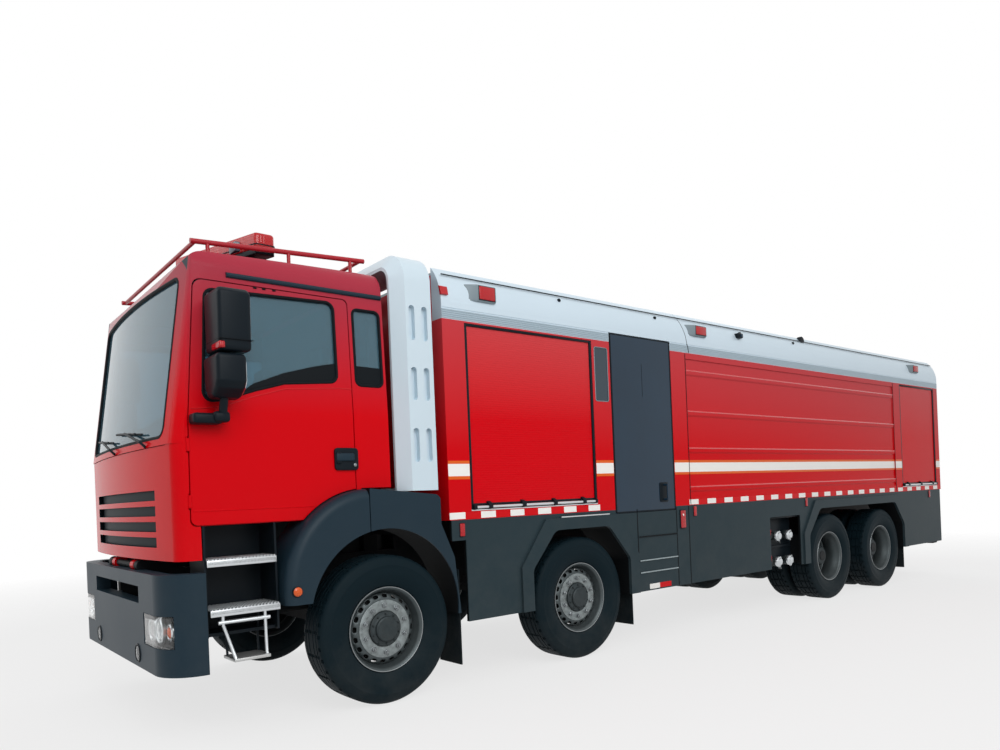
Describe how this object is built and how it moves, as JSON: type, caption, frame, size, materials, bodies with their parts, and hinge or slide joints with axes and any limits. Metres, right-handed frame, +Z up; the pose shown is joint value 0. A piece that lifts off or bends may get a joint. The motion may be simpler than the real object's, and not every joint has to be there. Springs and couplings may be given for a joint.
{
  "type": "foam fire truck",
  "caption": "Eight-wheel foam fire truck with a tilting forward cab, silver hoop, roller-shutter bays, ribbed tank, roof monitor and steered front axles.",
  "frame": {"origin": "on the ground under the middle of the truck", "axes": "+X forward, +Y to the truck's left, +Z up"},
  "size_m": [11.3, 2.84, 3.515],
  "materials": {
    "red_paint": "gloss coach red",
    "anthracite_paint": "satin dark grey",
    "black_paint": "satin black chassis paint",
    "silver_panel": "satin silver",
    "aluminium_tread": "mill finish",
    "bare_steel": "worn steel",
    "wheel_paint": "silver grey wheel paint",
    "tyre_rubber": "matt black",
    "flap_rubber": "matt black",
    "black_plastic": "grained black",
    "black_glass": "gloss black glazing",
    "cab_glass": "clear tinted glass",
    "lamp_plastic": "moulded lenses",
    "seat_cloth": "woven dark grey"
  },
  "bodies": {
    "chassis": {"chassis_frame": "black_paint", "front_axles": "black_paint", "drive_axles": "black_paint", "leaf_springs": "bare_steel", "engine_block": "bare_steel", "chassis_tanks": "aluminium_tread", "front_bumper": "anthracite_paint", "lamps": "lamp_plastic", "mudguards": "anthracite_paint", "mud_flaps": "flap_rubber", "cab_hoop": "silver_panel", "equipment_bays": "red_paint", "roller_shutters": "red_paint", "tank_module": "red_paint", "roof_covings": "silver_panel", "roof_deck": "anthracite_paint", "side_skirts": "anthracite_paint", "pump_couplings": "aluminium_tread", "rear_underrun": "black_paint", "rear_ladder": "aluminium_tread"},
    "cab": {"cab_shell": "red_paint", "front_panel": "red_paint", "cab_glass": "cab_glass", "cab_seats": "seat_cloth", "dashboard": "black_plastic", "light_bar": "lamp_plastic", "roof_rails": "red_paint", "step_wells": "black_plastic", "step_treads": "aluminium_tread", "cab_fenders": "anthracite_paint"},
    "cab_door_left": {"cab_door_left": "red_paint", "door_glass_left": "cab_glass", "mirror_left": "black_plastic"},
    "crew_door_left": {"crew_door_left": "black_glass"},
    "cab_door_right": {"cab_door_right": "red_paint", "door_glass_right": "cab_glass", "mirror_right": "black_plastic"},
    "crew_door_right": {"crew_door_right": "black_glass"},
    "monitor_turret": {"monitor_turret": "red_paint"},
    "monitor_barrel": {"monitor_barrel": "red_paint"},
    "knuckle_1_left": {"knuckle_1_left": "bare_steel"},
    "wheel_1_left": {"wheel_1_left": "wheel_paint", "tyre_1_left": "tyre_rubber"},
    "knuckle_1_right": {"knuckle_1_right": "bare_steel"},
    "wheel_1_right": {"wheel_1_right": "wheel_paint", "tyre_1_right": "tyre_rubber"},
    "knuckle_2_left": {"knuckle_2_left": "bare_steel"},
    "wheel_2_left": {"wheel_2_left": "wheel_paint", "tyre_2_left": "tyre_rubber"},
    "knuckle_2_right": {"knuckle_2_right": "bare_steel"},
    "wheel_2_right": {"wheel_2_right": "wheel_paint", "tyre_2_right": "tyre_rubber"},
    "wheel_3_left": {"wheel_3_left": "wheel_paint", "tyres_3_left": "tyre_rubber"},
    "wheel_3_right": {"wheel_3_right": "wheel_paint", "tyres_3_right": "tyre_rubber"},
    "wheel_4_left": {"wheel_4_left": "wheel_paint", "tyres_4_left": "tyre_rubber"},
    "wheel_4_right": {"wheel_4_right": "wheel_paint", "tyres_4_right": "tyre_rubber"}
  },
  "joints": [
    {"name": "cab_tilt", "type": "hinge", "parent": "chassis", "child": "cab", "pos_m": [5.565, 0, 1.075], "axis": [0, 1, 0], "range_deg": [0, 55]},
    {"name": "cab_door_left", "type": "hinge", "parent": "cab", "child": "cab_door_left", "pos_m": [5.458, 1.132, 2.1], "axis": [0, 0, -1], "range_deg": [0, 70]},
    {"name": "crew_door_left", "type": "hinge", "parent": "chassis", "child": "crew_door_left", "pos_m": [1.742, 1.244, 2.068], "axis": [0, 0, -1], "range_deg": [0, 90]},
    {"name": "cab_door_right", "type": "hinge", "parent": "cab", "child": "cab_door_right", "pos_m": [5.458, -1.132, 2.1], "axis": [0, 0, 1], "range_deg": [0, 70]},
    {"name": "crew_door_right", "type": "hinge", "parent": "chassis", "child": "crew_door_right", "pos_m": [1.742, -1.244, 2.068], "axis": [0, 0, 1], "range_deg": [0, 90]},
    {"name": "monitor_pan", "type": "hinge", "parent": "chassis", "child": "monitor_turret", "pos_m": [1.32, 0, 3.3], "axis": [0, 0, 1], "range_deg": [-170, 170]},
    {"name": "monitor_tilt", "type": "hinge", "parent": "monitor_turret", "child": "monitor_barrel", "pos_m": [1.32, 0, 3.45], "axis": [0, -1, 0], "range_deg": [-5, 75]},
    {"name": "steer_1_left", "type": "hinge", "parent": "chassis", "child": "knuckle_1_left", "pos_m": [4.15, 0.955, 0.53], "axis": [0, 0, 1], "range_deg": [-38, 38]},
    {"name": "spin_1_left", "type": "hinge", "parent": "knuckle_1_left", "child": "wheel_1_left", "pos_m": [4.15, 1.07, 0.53], "axis": [0, 1, 0], "continuous": true},
    {"name": "steer_1_right", "type": "hinge", "parent": "chassis", "child": "knuckle_1_right", "pos_m": [4.15, -0.955, 0.53], "axis": [0, 0, 1], "range_deg": [-38, 38]},
    {"name": "spin_1_right", "type": "hinge", "parent": "knuckle_1_right", "child": "wheel_1_right", "pos_m": [4.15, -1.07, 0.53], "axis": [0, 1, 0], "continuous": true},
    {"name": "steer_2_left", "type": "hinge", "parent": "chassis", "child": "knuckle_2_left", "pos_m": [2.2, 0.955, 0.53], "axis": [0, 0, 1], "range_deg": [-27, 27]},
    {"name": "spin_2_left", "type": "hinge", "parent": "knuckle_2_left", "child": "wheel_2_left", "pos_m": [2.2, 1.07, 0.53], "axis": [0, 1, 0], "continuous": true},
    {"name": "steer_2_right", "type": "hinge", "parent": "chassis", "child": "knuckle_2_right", "pos_m": [2.2, -0.955, 0.53], "axis": [0, 0, 1], "range_deg": [-27, 27]},
    {"name": "spin_2_right", "type": "hinge", "parent": "knuckle_2_right", "child": "wheel_2_right", "pos_m": [2.2, -1.07, 0.53], "axis": [0, 1, 0], "continuous": true},
    {"name": "spin_3_left", "type": "hinge", "parent": "chassis", "child": "wheel_3_left", "pos_m": [-2.225, 1.07, 0.53], "axis": [0, 1, 0], "continuous": true},
    {"name": "spin_3_right", "type": "hinge", "parent": "chassis", "child": "wheel_3_right", "pos_m": [-2.225, -1.07, 0.53], "axis": [0, 1, 0], "continuous": true},
    {"name": "spin_4_left", "type": "hinge", "parent": "chassis", "child": "wheel_4_left", "pos_m": [-3.625, 1.07, 0.53], "axis": [0, 1, 0], "continuous": true},
    {"name": "spin_4_right", "type": "hinge", "parent": "chassis", "child": "wheel_4_right", "pos_m": [-3.625, -1.07, 0.53], "axis": [0, 1, 0], "continuous": true}
  ],
  "couplings": [
    {"joint": "steer_1_right", "follows": "steer_1_left", "ratio": 1},
    {"joint": "steer_2_left", "follows": "steer_1_left", "ratio": 0.7},
    {"joint": "steer_2_right", "follows": "steer_1_left", "ratio": 0.7}
  ]
}
